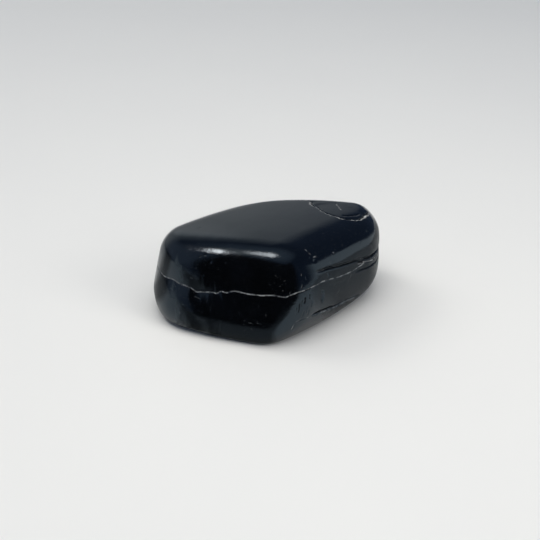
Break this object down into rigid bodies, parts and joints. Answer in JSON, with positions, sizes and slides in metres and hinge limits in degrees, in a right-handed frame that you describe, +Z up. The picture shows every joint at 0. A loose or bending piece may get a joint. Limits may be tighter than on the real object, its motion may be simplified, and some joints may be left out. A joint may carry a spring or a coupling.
{
  "type": "tumbled stone",
  "caption": "Polished tumbled black tourmaline: a rounded, slightly wedge-shaped block with worn faces, pale hairline seams and a flat underside to rest on.",
  "frame": {"origin": "on the resting face, under the middle of the stone's bounding box", "axes": "+X along the stone's length towards the end with the chipped corner, +Z up from the resting face, the broad front face towards -Y"},
  "size_m": [0.054, 0.0366, 0.0215],
  "materials": {
    "tourmaline": "polished"
  },
  "bodies": {
    "root": {"stone": "tourmaline"}
  },
  "joints": []
}
